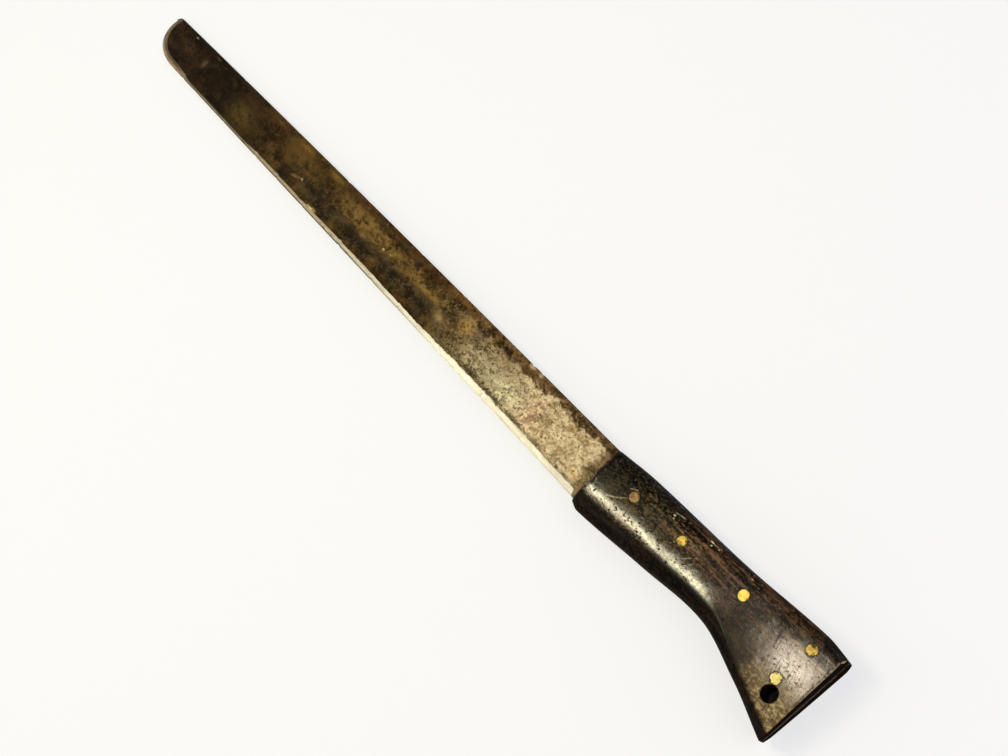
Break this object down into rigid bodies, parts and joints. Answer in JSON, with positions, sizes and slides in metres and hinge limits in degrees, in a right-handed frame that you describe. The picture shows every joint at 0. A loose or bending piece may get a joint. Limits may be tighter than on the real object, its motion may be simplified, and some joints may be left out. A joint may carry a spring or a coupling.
{
  "type": "machete",
  "caption": "Old farm machete: straight square-nosed steel blade with a full tang, two dark riveted grip scales, a beaked butt and a lanyard hole.",
  "frame": {"origin": "centre of the lanyard hole, halfway through the thickness of the tang", "axes": "+X along the blade towards its tip, +Y across the blade towards the cutting edge, +Z out of the near grip scale along the lanyard hole"},
  "size_m": [0.4869, 0.0466, 0.019],
  "materials": {
    "patinated_steel": "satin",
    "dark_horn": "satin",
    "brass_rivet": "satin"
  },
  "bodies": {
    "root": {"blade": "patinated_steel", "grip_scale_near": "dark_horn", "grip_scale_far": "dark_horn", "rivet_front": "brass_rivet", "rivet_fore_grip": "brass_rivet", "rivet_mid_grip": "brass_rivet", "rivet_butt_back": "brass_rivet", "rivet_beside_hole": "brass_rivet"}
  },
  "joints": []
}
